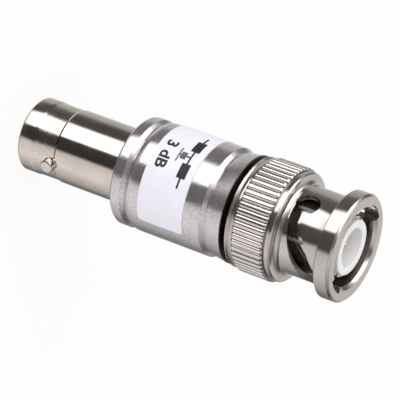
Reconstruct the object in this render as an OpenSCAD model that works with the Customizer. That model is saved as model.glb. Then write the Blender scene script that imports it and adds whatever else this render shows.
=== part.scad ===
// In-line coaxial attenuator: bayonet jack, crimped housing, bayonet plug.
// It stands on the jack's end, with the plug up. Lengths are millimetres and angles degrees.

/* [Housing] */
// Length of the jack barrel that stands out of the housing
jack_len = 15.4; // [14.8:0.1:18]
// Length of the housing
housing_len = 16; // [15:0.1:22]
// Outside diameter of the housing
housing_d = 14.1; // [13.6:0.1:18]
// Wall of the housing
housing_wall = 1.4; // [1.2:0.05:1.7]
// Distance of each rolled crimp groove from its end of the housing
crimp_inset = 2.2; // [1.8:0.05:3]
// Length of a crimp groove's steep wall, on its jack side
crimp_steep = 0.6; // [0.3:0.05:0.8]
// Length of its long wall, on its plug side
crimp_long = 1.4; // [0.6:0.05:1.6]
// Depth of a crimp groove in the outside of the housing
crimp_depth = 0.45; // [0.2:0.05:0.7]
// Height of the ridge that a crimp raises in the bore
crimp_ridge = 0.3; // [0.1:0.05:0.4]
// Chamfer on the ends of the housing
housing_chamfer = 0.3; // [0.1:0.05:0.5]
// How far the two connector shells sit back from the ends of the housing
spigot_recess = 0.3; // [0.1:0.05:0.5]

/* [Label] */
// Width of the label along the axis
label_w = 6.45; // [3:0.05:8]
// Distance of the label from the jack end of the housing
label_offset = 4.3; // [3.2:0.05:5]
// Thickness of the label film
label_t = 0.08; // [0.05:0.01:0.2]
// Angle at which the label begins
label_start = -198; // [-230:1:-170]
// Angle that the label covers
label_arc = 160.5; // [60:0.5:300]
// Corner radius of the label
label_corner = 0.55; // [0.2:0.05:1.5]

/* [Jack] */
// Outside diameter of the jack barrel
barrel_d = 9.66; // [9.6:0.01:9.7]
// Bore of the jack barrel, which takes the mating contact fingers
jack_bore_d = 8.2; // [8.15:0.01:8.4]
// Depth of the jack's mating cavity
jack_cavity = 10.2; // [9.8:0.1:11]
// Start of the milled band that carries the lugs
lug_band_start = 2.25; // [1.5:0.05:3]
// Length of the milled band
lug_band_len = 3.5; // [2.5:0.05:4.5]
// Depth of the milled band
lug_band_depth = 0.09; // [0.05:0.01:0.2]
// Diameter of a bayonet lug
lug_d = 1.8; // [1.5:0.05:1.9]
// Diameter across the tips of the lugs
lug_span = 11; // [10.8:0.05:11.1]
// Distance of the lugs from the jack's end
lug_z = 4.9; // [4.6:0.05:5.2]
// Angle of the first lug
lug_angle = -55.5; // [-90:0.5:0]
// Chamfer on the mouth of the barrel
barrel_chamfer = 0.25; // [0.1:0.05:0.4]
// Bore that seats the insulator in the jack shell
seat_bore_d = 7.2; // [6.8:0.05:7.6]
// Opening in the lip that holds the insulator back
jack_lip_d = 6.4; // [5.6:0.05:6.6]
// Thickness of that lip
jack_lip_t = 0.6; // [0.4:0.05:1]

/* [Jack insides] */
// Diameter of the insulator's nose
jack_nose_d = 4.7; // [4.4:0.05:4.8]
// Depth of the nose behind the jack's end
jack_nose_recess = 4.8; // [4:0.1:5.5]
// Thickness of the insulator's flange
jack_flange_t = 3.2; // [2.5:0.1:3.6]
// Diameter of the socket contact
socket_d = 2.2; // [2:0.05:2.4]
// Bore of the socket contact
socket_bore_d = 1.4; // [1.37:0.01:1.45]
// Depth of the socket's bore
socket_depth = 4.6; // [4:0.1:5.5]
// Depth of the socket behind the insulator's nose
socket_recess = 0.2; // [0:0.05:0.4]
// Width of the slit that makes the socket springy
socket_slit = 0.22; // [0.1:0.02:0.28]
// Diameter of the collars that hold the two contacts in their insulators
collar_d = 3.2; // [2.8:0.05:3.6]
// Thickness of those collars
collar_t = 1.6; // [1:0.1:2]
// Thickness of the two insulating beads
bead_t = 0.8; // [0.5:0.05:1]

/* [Attenuator element] */
// Diameter of the two series rod resistors
rod_d = 1.8; // [1.4:0.05:2]
// Thickness of the shunt disc resistor
disc_t = 0.8; // [0.6:0.05:1.2]
// Width of the ring around the shunt disc resistor
disc_ring_w = 0.6; // [0.4:0.05:1]
// Wall of the contact sleeves and of the hub
sleeve_wall = 0.35; // [0.2:0.05:0.5]
// Length of contact tail that each contact sleeve grips
tail_stub = 0.9; // [0.6:0.05:0.9]
// Length of the hub on each side of the disc
hub_reach = 1.2; // [0.8:0.1:1.6]
// Web in the hub between the two rods
hub_web = 0.4; // [0.2:0.05:0.6]
// Bore of the ground sleeves
ground_bore_d = 4.4; // [4:0.1:5]
// Thickness of the ground sleeves' flanges
ground_flange_t = 1.6; // [1.2:0.1:2]

/* [Plug] */
// Gap between the housing and the coupling nut
nut_gap = 0.7; // [0.5:0.05:1.2]
// Diameter of the plug body's neck, which the nut turns on
neck_journal_d = 9.8; // [9.6:0.05:10.2]
// Thickness of the plug body's flange
body_flange_t = 0.7; // [0.5:0.05:1]
// Outside diameter of the contact fingers
outer_contact_d = 8.1; // [8.05:0.01:8.12]
// Diameter of the fingers' root, which is pressed into the plug body
contact_root_d = 8.5; // [8.3:0.05:8.7]
// Wall of the contact fingers
outer_contact_wall = 0.5; // [0.35:0.05:0.6]
// Depth at which the contact fingers seat in the plug body
outer_contact_seat = 4; // [3:0.1:4.2]
// Depth of the finger tips behind the nut's front face
outer_contact_recess = 1; // [0.6:0.05:1.6]
// Number of slots between the contact fingers
finger_slots = 6; // [4:1:8]
// Width of a slot between the fingers
finger_slot_w = 0.42; // [0.2:0.02:0.5]
// Length of a slot between the fingers
finger_slot_len = 6.5; // [4:0.1:7.5]
// Angle of the first slot
finger_slot_angle = 52; // [0:1:60]
// Thickness of the shoulder that the contact and the bead seat against
body_shoulder_t = 0.8; // [0.5:0.05:1.2]
// Depth of the plug insulator behind the nut's front face
plug_insulator_recess = 0.5; // [0.3:0.05:1]
// Bore of the plug insulator
plug_insulator_bore_d = 5; // [4.85:0.05:5.2]
// Depth of that bore
plug_insulator_depth = 9.4; // [8.5:0.1:9.8]
// Diameter of the centre pin
pin_d = 1.35; // [1.32:0.01:1.37]
// Diameter of the pin's root in the insulator
pin_root_d = 1.7; // [1.5:0.05:1.9]
// Depth of the pin's tip behind the nut's front face
pin_recess = 1.3; // [1:0.1:2]
// Length of the pin's tapered tip
pin_taper = 1.1; // [0.6:0.1:1.6]
// Thickness of the gasket
gasket_t = 0.8; // [0.5:0.05:1]
// Width of the gasket's ring
gasket_w = 0.45; // [0.3:0.05:0.5]

/* [Coupling nut] */
// Length of the coupling nut
nut_len = 14.3; // [13.8:0.1:15]
// Bore of the coupling nut
nut_bore_d = 9.8; // [9.76:0.01:10]
// Thickness of the rolled rim that holds the washers in
rim_t = 0.6; // [0.4:0.05:0.8]
// How far the rolled rim stays below the knurl's crests
rim_step = 0.23; // [0.1:0.01:0.35]
// Radius on the edge of the rolled rim
rim_round = 0.5; // [0.2:0.05:0.6]
// Width of the thrust washer's ring
washer_w = 0.95; // [0.6:0.05:1]
// Thickness of the thrust washer
washer_t = 0.4; // [0.3:0.05:0.6]
// Height of the wave washer at rest
wave_h = 0.9; // [0.8:0.05:1.1]
// Thickness of the wave washer's strip
wave_strip = 0.18; // [0.12:0.02:0.24]
// Number of waves in the wave washer
waves = 3; // [2:1:5]
// Start of the knurl, from the back of the nut
knurl_start = 1.1; // [0.8:0.05:1.6]
// Length of the knurl
knurl_len = 4.3; // [3:0.05:4.4]
// How far the knurl stands out beyond the housing
knurl_proud = 0.28; // [0:0.02:0.6]
// Depth of the knurl
knurl_depth = 0.26; // [0.1:0.02:0.3]
// Number of flutes in the knurl
flutes = 54; // [36:1:64]
// Width of the notch ahead of the knurl
notch_w = 0.28; // [0.15:0.01:0.35]
// Depth of that notch below the knurl's crests
notch_depth = 0.5; // [0.3:0.02:0.6]
// How far the smooth shoulder ahead of the notch stays below the knurl's crests
shoulder_step = 0.33; // [0.1:0.01:0.5]
// Distance of the shoulder's front face from the back of the nut
shoulder_z = 6.25; // [6.1:0.01:6.4]
// Bevel on the shoulder's front edge
shoulder_bevel = 0.32; // [0.1:0.02:0.4]
// Radius of the hollow between the shoulder and the neck
shoulder_fillet = 0.9; // [0.5:0.05:1]
// Outside diameter of the nut's neck
nut_neck_d = 11.26; // [11.2:0.02:11.45]
// Diameter of the front flange
flange_d = 13.76; // [13:0.02:14.4]
// Thickness of the front flange
flange_t = 2.05; // [1.6:0.05:2.5]
// Chamfer on the front flange
flange_chamfer = 0.28; // [0.1:0.02:0.5]
// Chamfer in the mouth of the nut
mouth_chamfer = 0.4; // [0.2:0.05:0.5]

/* [Bayonet cam] */
// Diameter that the cam slots are cut to
cam_d = 11.5; // [11.5:0.02:11.6]
// Width of the cam slots
cam_w = 2; // [1.95:0.05:2.2]
// Angle of the first locking hole
lock_angle = -123.5; // [-180:0.5:0]
// Diameter of a locking hole
lock_d = 2.9; // [2.5:0.05:3.1]
// Distance of the locking holes behind the nut's front face
lock_depth = 5.85; // [5.6:0.05:6]
// Angle from a locking hole to the peak of its cam
peak_sweep = 21.5; // [16:0.5:26]
// Distance of the cam's peak behind the nut's front face
peak_depth = 5.95; // [5.8:0.05:6.1]
// Angle from the peak to the near wall of the entry notch
ramp_sweep = 65; // [50:1:75]
// Rise of the cam's front edge over that angle
ramp_rise = 3.4; // [2.8:0.1:3.6]
// Rise of its back edge over that angle, which is less, so that the slot widens towards its entry
back_rise = 2.55; // [2:0.05:2.8]
// Angle that an entry notch covers
entry_sweep = 34; // [26:1:40]

/* [Clearances] */
// Radial clearance of a piece that is pressed or slid into its seat
seat_gap = 0.02; // [0.01:0.01:0.05]
// Clearance of a piece that turns or slides in use
run_gap = 0.1; // [0.05:0.01:0.15]
// Clearance at the stops of the nut
stop_gap = 0.02; // [0.01:0.01:0.05]

/* [Hidden] */
$fn = 96;

// Heights along the axis
z_housing = jack_len;
z_housing_end = z_housing + housing_len;
z_nut = z_housing_end + nut_gap;
z_front = z_nut + nut_len;
z_disc = z_housing + housing_len / 2;
z_spigot_end = z_disc - disc_t / 2 - ground_flange_t;
z_body = z_disc + disc_t / 2 + ground_flange_t;
z_jack_lip = jack_cavity + jack_lip_t;
z_jack_insulator_end = z_jack_lip + jack_flange_t;
z_jack_bead_end = z_jack_insulator_end + bead_t;
z_washer = z_nut + rim_t + stop_gap;
z_wave = z_washer + washer_t + stop_gap;
z_body_flange = z_wave + wave_h + stop_gap;
z_gasket = z_body_flange + body_flange_t;
z_gasket_end = z_gasket + gasket_t;
z_contact_seat = z_gasket - outer_contact_seat;
z_insulator_end = z_front - plug_insulator_recess;
z_insulator_floor = z_insulator_end - plug_insulator_depth;
z_body_shoulder = z_contact_seat - body_shoulder_t;
z_plug_bead = z_body_shoulder - bead_t;
z_output_tail = z_plug_bead - tail_stub;
rod_len = z_output_tail - z_disc - hub_web / 2;
z_input_tail = z_disc - hub_web / 2 - rod_len;

// Radii that several pieces share
housing_r = housing_d / 2;
housing_bore_r = housing_r - housing_wall;
spigot_r = housing_bore_r - seat_gap;
disc_r = spigot_r - disc_ring_w - seat_gap;
barrel_r = barrel_d / 2;
seat_bore_r = seat_bore_d / 2;
seated_r = seat_bore_r - seat_gap;
collar_r = collar_d / 2;
collar_seat_r = collar_r + seat_gap;
tail_r = rod_d / 2;
grip_r = tail_r + seat_gap;
contact_sleeve_r = grip_r + sleeve_wall;
journal_r = neck_journal_d / 2;
rim_bore_r = journal_r + run_gap;
knurl_r = housing_r + knurl_proud;
knurl_root_r = knurl_r - knurl_depth;
washer_r = rim_bore_r + washer_w;
chamber_r = washer_r + run_gap;
contact_r = outer_contact_d / 2;
contact_bore_r = contact_r - outer_contact_wall;
contact_root_r = contact_root_d / 2;
contact_seat_r = contact_root_r + seat_gap;
plug_insulator_r = contact_bore_r - seat_gap;
shoulder_bore_r = jack_lip_d / 2;
pin_r = pin_d / 2;
pin_root_r = pin_root_d / 2;
nut_bore_r = nut_bore_d / 2;
nut_neck_r = nut_neck_d / 2;
cam_r = cam_d / 2;

// Heights on the coupling nut
z_knurl = z_nut + knurl_start;
z_knurl_end = z_knurl + knurl_len;
z_shoulder = z_nut + shoulder_z;
z_flange = z_front - flange_t;
z_stop = z_gasket + stop_gap;

// A turned piece, from its half section of radius and height
module turned(section) rotate_extrude() polygon(section);

// A plain ring between two radii
module ring(inner_r, outer_r, z, h)
    turned([[inner_r, z], [outer_r, z], [outer_r, z + h], [inner_r, z + h]]);

// A crimp on a straight wall, positive depth towards the axis, listed upwards
function crimp(r, depth, z) = [[r, z - crimp_steep], [r - depth, z], [r, z + crimp_long]];

// The same list of points the other way round
function reversed(points) = [for (i = [len(points) - 1:-1:0]) points[i]];

// Points on an arc about a centre
function arc(r, z, radius, from, to, steps) = [for (i = [0:steps])
    let (a = from + (to - from) * i / steps) [r + radius * cos(a), z + radius * sin(a)]];

// A point from angle, radius and height
function polar(a, r, z) = [r * cos(a), r * sin(a), z];

// A solid through a row of four-cornered sections, either capped or closed on itself
module swept(sections, closed = false) {
    n = len(sections);
    last = closed ? n - 1 : n - 2;
    sides = [for (i = [0:last], k = [0:3]) let (j = (i + 1) % n, m = (k + 1) % 4)
        each [[4 * i + k, 4 * i + m, 4 * j + m], [4 * i + k, 4 * j + m, 4 * j + k]]];
    caps = closed ? [] : [[3, 2, 1, 0], [for (k = [0:3]) 4 * (n - 1) + k]];
    polyhedron([for (s = sections) each s], concat(sides, caps));
}

// Turned tube whose crimp grooves show outside and stand as ridges in the bore
module housing() {
    low = z_housing + crimp_inset;
    high = z_housing_end - crimp_inset;
    outside = concat(
        [[housing_r - housing_chamfer, z_housing], [housing_r, z_housing + housing_chamfer]],
        crimp(housing_r, crimp_depth, low),
        crimp(housing_r, crimp_depth, high),
        [[housing_r, z_housing_end - housing_chamfer], [housing_r - housing_chamfer, z_housing_end]]);
    inside = concat([[housing_bore_r, z_housing]],
        crimp(housing_bore_r, crimp_ridge, low),
        crimp(housing_bore_r, crimp_ridge, high),
        [[housing_bore_r, z_housing_end]]);
    color([0.72, 0.71, 0.73]) turned(concat(outside, reversed(inside)));
}

// Film label that wraps part of the housing
module rating_label() {
    r = housing_r + seat_gap / 2;
    z = z_housing + label_offset;
    inset = label_corner / r * 180 / PI;
    reach = 2 * label_corner;
    facet = 15;
    past = label_corner * [2 - cos(facet), -sin(facet)];
    waste = concat([past], arc(0, 0, label_corner, facet, 90 - facet, 4), [[past.y, past.x]],
        [[reach, reach]]);
    color([0.95, 0.95, 0.97]) difference() {
        rotate([0, 0, label_start]) rotate_extrude(angle = label_arc)
            translate([r, z]) square([label_t, label_w]);
        for (end = [0, 1], edge = [0, 1])
            rotate([0, 0, label_start + (end == 0 ? inset : label_arc - inset)])
                translate([r - reach / 2, 0, z + (edge == 0 ? label_corner : label_w - label_corner)])
                    rotate([90, 0, 90]) linear_extrude(reach)
                        mirror([end == 0 ? 1 : 0, 0]) mirror([0, edge == 0 ? 1 : 0]) polygon(waste);
    }
}

// Turned barrel with its two lugs, and the spigot that the housing is crimped to
module jack_shell() {
    z_spigot = z_housing + spigot_recess;
    band_r = barrel_r - lug_band_depth;
    band_end = lug_band_start + lug_band_len;
    mouth_r = jack_bore_d / 2;
    section = concat(
        [[mouth_r + barrel_chamfer, 0], [barrel_r - barrel_chamfer, 0], [barrel_r, barrel_chamfer],
            [barrel_r, lug_band_start], [band_r, lug_band_start], [band_r, band_end],
            [barrel_r, band_end], [barrel_r, z_spigot], [spigot_r, z_spigot]],
        crimp(spigot_r, crimp_ridge, z_housing + crimp_inset),
        [[spigot_r, z_spigot_end], [seat_bore_r, z_spigot_end], [seat_bore_r, z_jack_lip],
            [shoulder_bore_r, z_jack_lip], [shoulder_bore_r, jack_cavity], [mouth_r, jack_cavity],
            [mouth_r, barrel_chamfer]]);
    color([0.78, 0.75, 0.72]) {
        turned(section);
        for (turn = [0, 180]) rotate([0, 0, lug_angle + turn]) bayonet_lug((mouth_r + band_r) / 2);
    }
}

// One bayonet lug, rooted in the wall of the barrel
module bayonet_lug(root_r) {
    edge = 0.15;
    translate([root_r, 0, lug_z]) rotate([0, 90, 0]) {
        cylinder(d = lug_d, h = lug_span / 2 - root_r - edge);
        translate([0, 0, lug_span / 2 - root_r - edge])
            cylinder(d1 = lug_d, d2 = lug_d - 2 * edge, h = edge);
    }
}

// Insulator of the jack, with a recess for the socket's collar
module jack_insulator() {
    nose_r = jack_nose_d / 2;
    bore_r = socket_d / 2 + seat_gap;
    z_collar = z_jack_insulator_end - collar_t;
    color([0.95, 0.95, 0.94]) turned([[bore_r, jack_nose_recess], [nose_r, jack_nose_recess],
        [nose_r, z_jack_lip], [seated_r, z_jack_lip], [seated_r, z_jack_insulator_end],
        [collar_seat_r, z_jack_insulator_end], [collar_seat_r, z_collar], [bore_r, z_collar]]);
}

// Bead that holds the socket's collar in the insulator
module jack_bead()
    color([0.95, 0.95, 0.94]) ring(grip_r, seated_r, z_jack_insulator_end, bead_t);

// Slit socket contact with its collar and its tail
module jack_socket() {
    z = jack_nose_recess + socket_recess;
    socket_r = socket_d / 2;
    z_collar = z_jack_insulator_end - collar_t;
    bore_r = socket_bore_d / 2;
    color([0.83, 0.66, 0.33]) difference() {
        turned([[bore_r, z], [socket_r, z], [socket_r, z_collar], [collar_r, z_collar],
            [collar_r, z_jack_insulator_end], [tail_r, z_jack_insulator_end], [tail_r, z_input_tail],
            [0, z_input_tail], [0, z + socket_depth], [bore_r, z + socket_depth]]);
        translate([-socket_r, -socket_slit / 2, z]) cube([socket_d, socket_slit, socket_depth]);
    }
}

// Sleeve that grips a contact tail and the end of a rod resistor
module contact_sleeve(z_joint)
    color([0.83, 0.66, 0.33]) ring(grip_r, contact_sleeve_r, z_joint - tail_stub, 2 * tail_stub);

module input_contact_sleeve() contact_sleeve(z_input_tail);

module output_contact_sleeve() contact_sleeve(z_output_tail);

// Film resistor on a ceramic rod
module rod_resistor(z)
    color([0.32, 0.31, 0.3]) translate([0, 0, z]) cylinder(r = tail_r, h = rod_len);

module input_resistor() rod_resistor(z_input_tail);

module output_resistor() rod_resistor(z_disc + hub_web / 2);

// Hub that joins the rods to each other and to the disc
module centre_hub() {
    hub_end = hub_reach + disc_t / 2;
    color([0.83, 0.66, 0.33]) difference() {
        translate([0, 0, z_disc - hub_end]) cylinder(r = contact_sleeve_r, h = 2 * hub_end);
        translate([0, 0, z_disc - hub_end]) cylinder(r = grip_r, h = hub_end - hub_web / 2);
        translate([0, 0, z_disc + hub_web / 2]) cylinder(r = grip_r, h = hub_end - hub_web / 2);
    }
}

// Film resistor on a ceramic disc, from the hub to ground
module shunt_disc()
    color([0.86, 0.84, 0.78])
        ring(contact_sleeve_r + seat_gap, disc_r, z_disc - disc_t / 2, disc_t);

// Ring that centres the disc in the housing
module disc_ring()
    color([0.8, 0.65, 0.35]) ring(disc_r + seat_gap, spigot_r, z_disc - disc_t / 2, disc_t);

// Sleeve that grounds the disc's rim and butts on a spigot, drawn with the disc at height zero
module ground_sleeve(tube_len) {
    bore_r = ground_bore_d / 2;
    end = ground_flange_t + tube_len;
    color([0.8, 0.65, 0.35]) turned([[bore_r, 0], [spigot_r, 0], [spigot_r, ground_flange_t],
        [seated_r, ground_flange_t], [seated_r, end], [bore_r, end]]);
}

module input_ground_sleeve()
    translate([0, 0, z_disc - disc_t / 2]) mirror([0, 0, 1])
        ground_sleeve(z_spigot_end - z_jack_bead_end);

module output_ground_sleeve()
    translate([0, 0, z_disc + disc_t / 2]) ground_sleeve(z_plug_bead - z_body);

// Turned body of the plug: spigot, neck that the nut turns on, and the flange that holds it
module plug_body() {
    z_spigot_face = z_housing_end - spigot_recess;
    color([0.7, 0.67, 0.62]) turned(concat(
        [[seat_bore_r, z_body], [spigot_r, z_body]],
        crimp(spigot_r, crimp_ridge, z_housing_end - crimp_inset),
        [[spigot_r, z_spigot_face], [journal_r, z_spigot_face], [journal_r, z_body_flange],
            [washer_r, z_body_flange], [washer_r, z_gasket], [contact_seat_r, z_gasket],
            [contact_seat_r, z_contact_seat], [shoulder_bore_r, z_contact_seat],
            [shoulder_bore_r, z_body_shoulder], [seat_bore_r, z_body_shoulder]]));
}

// Bead that holds the pin's collar in the plug insulator
module plug_bead()
    color([0.95, 0.95, 0.94]) ring(grip_r, seated_r, z_plug_bead, bead_t);

// Centre pin with its tapered tip, its collar and its tail
module centre_pin() {
    z_tip = z_front - pin_recess;
    z_collar_end = z_body_shoulder + collar_t;
    blunt_r = pin_r / 3;
    color([0.83, 0.66, 0.33]) turned([[0, z_output_tail], [tail_r, z_output_tail],
        [tail_r, z_body_shoulder], [collar_r, z_body_shoulder], [collar_r, z_collar_end],
        [pin_root_r, z_collar_end], [pin_root_r, z_insulator_floor], [pin_r, z_insulator_floor],
        [pin_r, z_tip - pin_taper], [blunt_r, z_tip], [0, z_tip]]);
}

// Insulating tube of the plug, stepped at the back into the body's shoulder
module plug_insulator() {
    z_collar_end = z_body_shoulder + collar_t;
    back_r = shoulder_bore_r - seat_gap;
    bore_r = plug_insulator_bore_d / 2;
    pin_hole_r = pin_root_r + seat_gap;
    edge = 0.15;
    color([0.95, 0.95, 0.94]) turned([[collar_seat_r, z_body_shoulder], [back_r, z_body_shoulder],
        [back_r, z_contact_seat], [plug_insulator_r, z_contact_seat],
        [plug_insulator_r, z_insulator_end - edge], [plug_insulator_r - edge, z_insulator_end],
        [bore_r + edge, z_insulator_end], [bore_r, z_insulator_end - edge],
        [bore_r, z_insulator_floor], [pin_hole_r, z_insulator_floor], [pin_hole_r, z_collar_end],
        [collar_seat_r, z_collar_end]]);
}

// Slotted sleeve of contact fingers, pressed into the plug body
module outer_contact() {
    z_end = z_front - outer_contact_recess;
    edge = 0.2;
    color([0.78, 0.75, 0.72]) difference() {
        turned([[contact_bore_r, z_contact_seat], [contact_root_r, z_contact_seat],
            [contact_root_r, z_gasket_end], [contact_r, z_gasket_end], [contact_r, z_end - edge],
            [contact_r - edge, z_end], [contact_bore_r, z_end]]);
        for (i = [0:finger_slots - 1]) rotate([0, 0, finger_slot_angle + i * 360 / finger_slots])
            translate([0, -finger_slot_w / 2, z_end - finger_slot_len])
                cube([outer_contact_d, finger_slot_w, finger_slot_len]);
    }
}

// Flat gasket on the plug body's flange
module gasket()
    color([0.12, 0.12, 0.12])
        ring(contact_seat_r, contact_seat_r + gasket_w, z_gasket, gasket_t);

// Wavy spring ring between the thrust washer and the plug body's flange
module wave_washer() {
    steps = 24 * waves;
    inner_r = rim_bore_r;
    outer_r = washer_r - run_gap;
    swing = (wave_h - wave_strip) / 2;
    color([0.6, 0.6, 0.6]) swept([for (i = [0:steps - 1])
        let (a = i * 360 / steps, z = z_wave + swing * (1 + sin(a * waves)))
        [polar(a, inner_r, z), polar(a, outer_r, z), polar(a, outer_r, z + wave_strip),
            polar(a, inner_r, z + wave_strip)]], closed = true);
}

// Washer that the wave washer presses against the nut's rolled rim
module thrust_washer()
    color([0.65, 0.64, 0.62]) ring(rim_bore_r, washer_r, z_washer, washer_t);

// Knurled bayonet nut
module coupling_nut() {
    color([0.78, 0.75, 0.72]) difference() {
        union() {
            nut_blank();
            knurl();
        }
        for (turn = [0, 180]) rotate([0, 0, lock_angle + turn]) cam();
    }
}

// Half section of the nut without its knurl and its cams
module nut_blank() {
    rim_r = knurl_r - rim_step;
    shoulder_r = knurl_r - shoulder_step;
    flange_r = flange_d / 2;
    notch_r = knurl_r - notch_depth;
    z_rim = z_nut + rim_round;
    z_chamber = z_nut + rim_t;
    rotate_extrude() polygon(concat([[rim_bore_r, z_nut]],
        arc(rim_r - rim_round, z_rim, rim_round, -90, 0, 6),
        [[rim_r, z_knurl], [notch_r, z_knurl], [notch_r, z_knurl_end + notch_w],
            [shoulder_r, z_knurl_end + notch_w], [shoulder_r, z_shoulder - shoulder_bevel],
            [shoulder_r - shoulder_bevel, z_shoulder]],
        arc(nut_neck_r + shoulder_fillet, z_shoulder + shoulder_fillet, shoulder_fillet, -90, -180, 8),
        [[nut_neck_r, z_flange], [flange_r, z_flange], [flange_r, z_front - flange_chamfer],
            [flange_r - flange_chamfer, z_front], [nut_bore_r + mouth_chamfer, z_front],
            [nut_bore_r, z_front - mouth_chamfer], [nut_bore_r, z_stop], [chamber_r, z_stop],
            [chamber_r, z_chamber], [rim_bore_r, z_chamber]]));
}

// Straight knurl: a ring of flat-topped ridges
module knurl() {
    pitch = 360 / flutes;
    crest = 0.2;
    root = 0.36;
    translate([0, 0, z_knurl]) linear_extrude(knurl_len) difference() {
        polygon([for (i = [0:flutes - 1]) each [
            for (p = [[-root, knurl_root_r], [-crest, knurl_r], [crest, knurl_r], [root, knurl_root_r]])
            let (a = (i + p[0]) * pitch) [p[1] * cos(a), p[1] * sin(a)]]]);
        circle(chamber_r + run_gap);
    }
}

// One cam, drawn with its locking hole at angle zero: hole, ramp and entry notch
module cam() {
    inner_r = nut_bore_r - mouth_chamfer;
    entry_r = cam_r + seat_gap;
    z_lock = z_front - lock_depth;
    z_peak = z_front - peak_depth;
    lead = ramp_rise / ramp_sweep;
    back_lead = back_rise / ramp_sweep;
    width = cam_w / cos(atan(lead * 180 / PI / cam_r));
    entry_angle = peak_sweep + ramp_sweep;
    end_angle = entry_angle + entry_sweep;
    steps = 20;
    rotate([0, 90, 0]) translate([-z_lock, 0, inner_r]) cylinder(d = lock_d, h = entry_r - inner_r);
    swept([for (i = [0:steps]) let (a = end_angle * i / steps, run = max(0, a - peak_sweep),
        z_back = z_peak - width + run * back_lead, z = z_peak + run * lead)
        [polar(a, inner_r, z_back), polar(a, cam_r, z_back), polar(a, cam_r, z), polar(a, inner_r, z)]]);
    rotate([0, 0, entry_angle]) rotate_extrude(angle = entry_sweep)
        translate([inner_r, z_peak + ramp_rise - run_gap]) square([entry_r - inner_r, peak_depth]);
}

housing();
rating_label();
jack_shell();
jack_insulator();
jack_bead();
jack_socket();
input_contact_sleeve();
input_resistor();
input_ground_sleeve();
centre_hub();
shunt_disc();
disc_ring();
output_ground_sleeve();
output_resistor();
output_contact_sleeve();
plug_body();
plug_bead();
centre_pin();
plug_insulator();
outer_contact();
gasket();
wave_washer();
thrust_washer();
coupling_nut();
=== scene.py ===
"""Dresses the in-line coaxial attenuator: plated metal, film label, insulators, contacts and the studio."""

import math

import bmesh
import bpy
from mathutils import Matrix, Vector


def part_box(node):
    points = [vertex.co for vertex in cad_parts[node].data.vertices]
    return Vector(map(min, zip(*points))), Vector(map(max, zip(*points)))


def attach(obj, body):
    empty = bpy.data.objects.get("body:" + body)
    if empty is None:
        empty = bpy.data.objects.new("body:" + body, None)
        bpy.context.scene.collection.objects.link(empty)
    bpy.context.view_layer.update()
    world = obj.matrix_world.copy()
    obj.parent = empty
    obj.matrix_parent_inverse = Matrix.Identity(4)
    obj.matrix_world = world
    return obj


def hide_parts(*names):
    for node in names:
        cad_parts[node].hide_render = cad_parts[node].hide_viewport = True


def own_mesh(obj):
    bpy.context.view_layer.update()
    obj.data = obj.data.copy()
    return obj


bl_info = {
    "name": "Coaxial attenuator",
    "version": (1, 0, 0),
    "blender": (4, 5, 0),
    "location": "View3D > Sidebar > Attenuator",
    "description": "Builds the looks of an in-line bayonet attenuator around its CAD model",
    "category": "Add Mesh",
}

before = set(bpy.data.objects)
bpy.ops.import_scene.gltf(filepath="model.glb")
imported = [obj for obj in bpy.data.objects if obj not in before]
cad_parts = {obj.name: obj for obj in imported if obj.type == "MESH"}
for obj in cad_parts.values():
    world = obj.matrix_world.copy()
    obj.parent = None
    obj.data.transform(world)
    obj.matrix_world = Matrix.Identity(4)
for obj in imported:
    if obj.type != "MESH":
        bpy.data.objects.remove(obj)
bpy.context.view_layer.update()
MM = 0.001
MICRON = 0.000001


# Sizes of the CAD nodes
def heights(node):
    """Lowest and highest point of a CAD node, in millimetres."""
    low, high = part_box(node)
    return low.z / MM, high.z / MM


def reach(node):
    """Largest radius of a CAD node about the axis, in millimetres."""
    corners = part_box(node)
    return max(abs(value) for corner in corners for value in corner[:2]) / MM


# Heights, radii and clearances that several pieces share, in millimetres
HOUSING_LOW, HOUSING_HIGH = heights("housing")
LABEL_LOW, LABEL_HIGH = heights("rating_label")
NUT_LOW, NUT_HIGH = heights("coupling_nut")
GASKET_LOW, GASKET_HIGH = heights("gasket")
PLUG_SHOULDER, PLUG_TIP = heights("plug_insulator")
PLUG_FLOOR = PLUG_TIP - 9.4
FINGER_LOW = heights("outer_contact")[0]
JACK_SEAT = 10.8
HOUSING_R = reach("housing")
KNURL_R = reach("coupling_nut")
BARREL_R = 4.83
SPIGOT_R = reach("jack_shell")
SPIGOT_BORE_R = 3.6
SEAT_BORE_R = 3.2
COLLAR_R = reach("jack_socket")
COLLAR_LENGTH = 1.6
SOCKET_R = 1.1
PIN_SHANK_R = 0.85
TAIL_R = 0.9
CRIMP_INSET = 2.2
SHELL_INSET = 0.3
CLEAR = 0.02
FINGER_SEAT_R = reach("outer_contact") + CLEAR
EDGE = 0.05
SOFT_EDGE = 0.1

# The milled band of the jack and its lugs
BAND_LOW, BAND_HIGH = 2.06, 5.5
LUG_ANGLE = -47
LUG_HEIGHT = 4.9

# The label's film and ink, and the symbol on it with its half widths
FILM_GAP = 0.01
FILM_THICKNESS = 0.08
INK_LIFT = FILM_GAP + FILM_THICKNESS + 0.002
INK_COAT = 0.012
SYMBOL_MIDDLE = 1.75
SYMBOL_LINE = 0.13
SYMBOL_BODY = 0.62

# The lens that the photograph was fitted with
PHOTO_PIXELS = 400
FOCAL_PIXELS = 2485.9
SENSOR_WIDTH = 36


# Mesh helpers, which work in millimetres until a piece is settled
def polar(radius, angle, height):
    """A point from its radius, its angle in degrees and its height."""
    turn = math.radians(angle)
    return Vector((radius * math.cos(turn), radius * math.sin(turn), height))


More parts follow.
